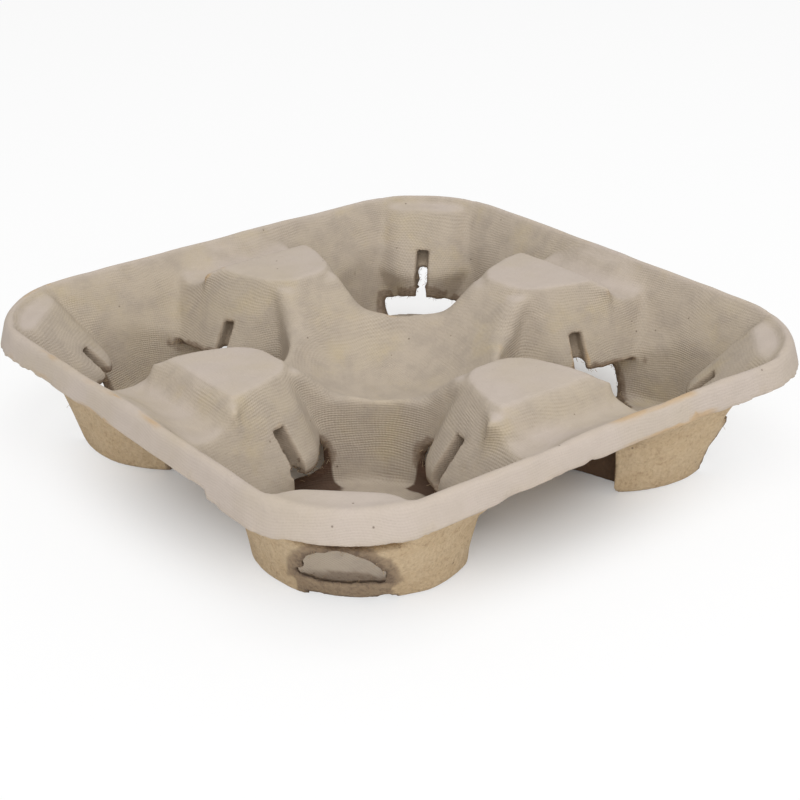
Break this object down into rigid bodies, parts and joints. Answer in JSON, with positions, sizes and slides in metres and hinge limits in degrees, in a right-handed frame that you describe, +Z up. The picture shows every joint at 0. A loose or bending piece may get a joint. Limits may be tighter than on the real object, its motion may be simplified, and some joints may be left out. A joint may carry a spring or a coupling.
{
  "type": "cup carrier tray",
  "caption": "Square moulded-pulp drink carrier with round cup wells, slotted grip panels, raised posts between the wells, a bowl in the middle and a turned-down rim.",
  "frame": {"origin": "middle of the tray on the surface that its cup bases stand on", "axes": "+Z up out of the cup wells, X and Y square to the tray's sides"},
  "size_m": [0.216, 0.216, 0.045],
  "materials": {
    "pulp": "matt greyish-beige moulded pulp, screen-marked on the upper face and rough and fibrous below"
  },
  "bodies": {
    "root": {"tray": "pulp"}
  },
  "joints": []
}
